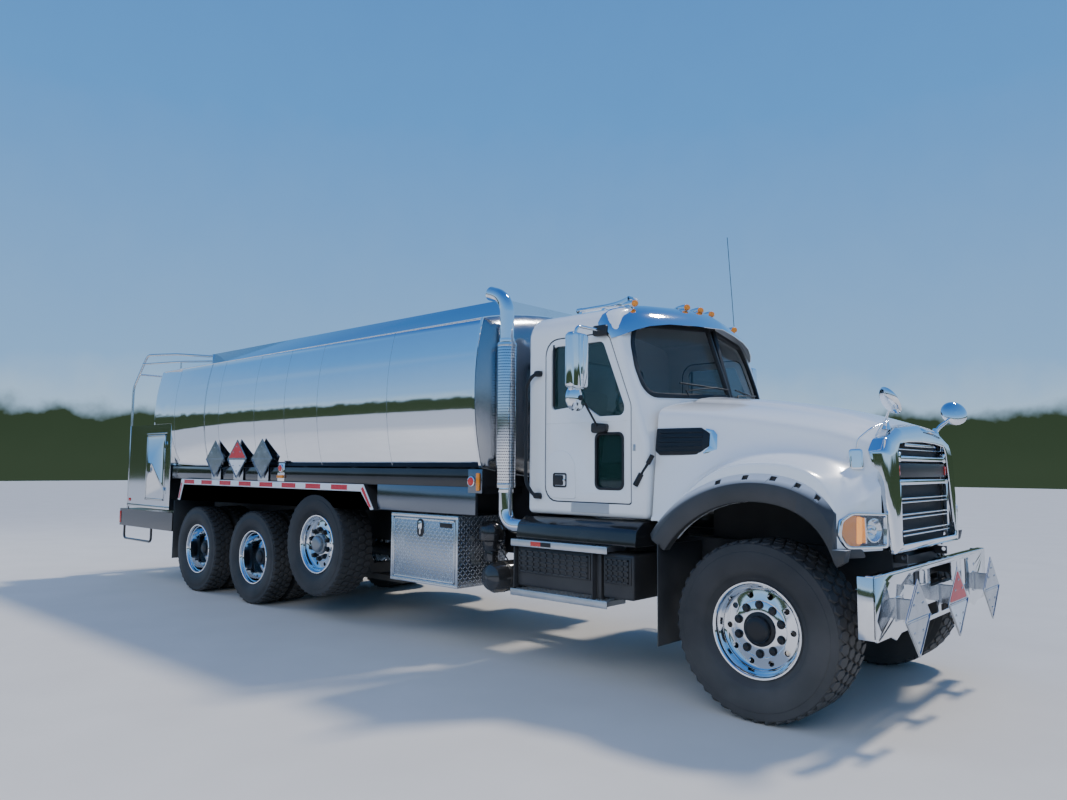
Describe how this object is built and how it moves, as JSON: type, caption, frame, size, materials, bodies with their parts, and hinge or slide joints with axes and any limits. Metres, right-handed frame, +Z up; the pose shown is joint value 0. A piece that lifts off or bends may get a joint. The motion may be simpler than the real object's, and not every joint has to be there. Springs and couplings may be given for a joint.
{
  "type": "tanker truck",
  "caption": "Bonneted tank truck with a polished tank, tilting hood, opening doors, steered front wheels, raised pusher axle and driven tandem.",
  "frame": {"origin": "on the ground under the middle of the overall length and width", "axes": "+X forward, +Y to the truck's left, +Z up"},
  "size_m": [10.9, 2.91, 3.8603],
  "materials": {
    "white_paint": "gloss",
    "polished_tank": "polished",
    "polished_steel": "polished",
    "black_frame": "satin",
    "black_plastic": "matte",
    "tyre": "matte",
    "aluminium": "satin",
    "placard": "satin",
    "lens": "gloss",
    "window_glass": "clear",
    "trim": "matte",
    "rubber": "matte",
    "cast": "painted"
  },
  "bodies": {
    "chassis": {"air_horn": "polished_steel", "air_tanks": "black_frame", "cab_glass": "window_glass", "cab_interior": "trim", "cab_shell": "white_paint", "cab_steps": "aluminium", "chassis_frame": "black_frame", "engine_block": "cast", "exhaust_stack": "polished_steel", "front_axle": "cast", "front_bumper": "polished_steel", "fuel_tank": "aluminium", "manway_covers": "aluminium", "marker_lamps": "lens", "mud_flaps": "rubber", "outlet_pipe": "polished_steel", "placards": "placard", "radiator": "black_frame", "rear_axles": "cast", "rear_bumper": "black_plastic", "rear_cabinets": "polished_steel", "rear_fenders": "aluminium", "rear_suspension": "black_frame", "side_covers": "black_plastic", "sun_visor": "polished_steel", "tank_shell": "polished_tank", "toolbox": "aluminium", "top_tray_and_rails": "aluminium"},
    "hood": {"hood_shell": "white_paint", "grille": "polished_steel", "head_lamps": "polished_steel", "fender_flares": "black_plastic", "hood_mirrors": "aluminium"},
    "toolbox_door": {"toolbox_door": "aluminium"},
    "door_right": {"door_right": "white_paint", "door_glass_right": "window_glass", "mirror_right": "aluminium"},
    "cabinet_door_right": {"cabinet_door_right": "polished_steel"},
    "knuckle_right": {"knuckle_right": "cast"},
    "front_wheel_right": {"front_tyre_right": "tyre", "front_wheel_right": "aluminium"},
    "pusher_wheel_right": {"pusher_tyre_right": "tyre", "pusher_wheel_right": "aluminium"},
    "drive_wheel_right": {"drive_tyres_right": "tyre", "drive_wheels_right": "aluminium"},
    "bogie_wheel_right": {"bogie_tyres_right": "tyre", "bogie_wheels_right": "aluminium"},
    "door_left": {"door_left": "white_paint", "door_glass_left": "window_glass", "mirror_left": "aluminium"},
    "cabinet_door_left": {"cabinet_door_left": "polished_steel"},
    "knuckle_left": {"knuckle_left": "cast"},
    "front_wheel_left": {"front_tyre_left": "tyre", "front_wheel_left": "aluminium"},
    "pusher_wheel_left": {"pusher_tyre_left": "tyre", "pusher_wheel_left": "aluminium"},
    "drive_wheel_left": {"drive_tyres_left": "tyre", "drive_wheels_left": "aluminium"},
    "bogie_wheel_left": {"bogie_tyres_left": "tyre", "bogie_wheels_left": "aluminium"}
  },
  "joints": [
    {"name": "hood_tilt", "type": "hinge", "parent": "chassis", "child": "hood", "pos_m": [5.245, 0, 1.005], "axis": [0, 1, 0], "range_deg": [0, 55]},
    {"name": "door_swing_right", "type": "hinge", "parent": "chassis", "child": "door_right", "pos_m": [3.539, -1.072, 1.9], "axis": [0, 0, 1], "range_deg": [0, 70]},
    {"name": "cabinet_door_swing_right", "type": "hinge", "parent": "chassis", "child": "cabinet_door_right", "pos_m": [-4.021, -1.217, 1.5], "axis": [0, 0, 1], "range_deg": [0, 110]},
    {"name": "steer_right", "type": "hinge", "parent": "chassis", "child": "knuckle_right", "pos_m": [4.585, -0.86, 0.562], "axis": [0, 0, 1], "range_deg": [-30, 30]},
    {"name": "front_wheel_spin_right", "type": "hinge", "parent": "knuckle_right", "child": "front_wheel_right", "pos_m": [4.585, -1.03, 0.562], "axis": [0, 1, 0], "continuous": true},
    {"name": "pusher_wheel_spin_right", "type": "hinge", "parent": "chassis", "child": "pusher_wheel_right", "pos_m": [-0.365, -1.03, 0.76], "axis": [0, 1, 0], "continuous": true},
    {"name": "drive_wheel_spin_right", "type": "hinge", "parent": "chassis", "child": "drive_wheel_right", "pos_m": [-1.655, -0.91, 0.525], "axis": [0, 1, 0], "continuous": true},
    {"name": "bogie_wheel_spin_right", "type": "hinge", "parent": "chassis", "child": "bogie_wheel_right", "pos_m": [-3.025, -0.91, 0.525], "axis": [0, 1, 0], "continuous": true},
    {"name": "door_swing_left", "type": "hinge", "parent": "chassis", "child": "door_left", "pos_m": [3.539, 1.072, 1.9], "axis": [0, 0, -1], "range_deg": [0, 70]},
    {"name": "cabinet_door_swing_left", "type": "hinge", "parent": "chassis", "child": "cabinet_door_left", "pos_m": [-4.021, 1.217, 1.5], "axis": [0, 0, -1], "range_deg": [0, 110]},
    {"name": "steer_left", "type": "hinge", "parent": "chassis", "child": "knuckle_left", "pos_m": [4.585, 0.86, 0.562], "axis": [0, 0, 1], "range_deg": [-30, 30]},
    {"name": "front_wheel_spin_left", "type": "hinge", "parent": "knuckle_left", "child": "front_wheel_left", "pos_m": [4.585, 1.03, 0.562], "axis": [0, 1, 0], "continuous": true},
    {"name": "pusher_wheel_spin_left", "type": "hinge", "parent": "chassis", "child": "pusher_wheel_left", "pos_m": [-0.365, 1.03, 0.76], "axis": [0, 1, 0], "continuous": true},
    {"name": "drive_wheel_spin_left", "type": "hinge", "parent": "chassis", "child": "drive_wheel_left", "pos_m": [-1.655, 0.91, 0.525], "axis": [0, 1, 0], "continuous": true},
    {"name": "bogie_wheel_spin_left", "type": "hinge", "parent": "chassis", "child": "bogie_wheel_left", "pos_m": [-3.025, 0.91, 0.525], "axis": [0, 1, 0], "continuous": true},
    {"name": "toolbox_door_drop", "type": "hinge", "parent": "chassis", "child": "toolbox_door", "pos_m": [1.375, -1.217, 0.561], "axis": [1, 0, 0], "range_deg": [0, 90]}
  ],
  "couplings": [
    {"joint": "steer_left", "follows": "steer_right", "ratio": 1}
  ]
}
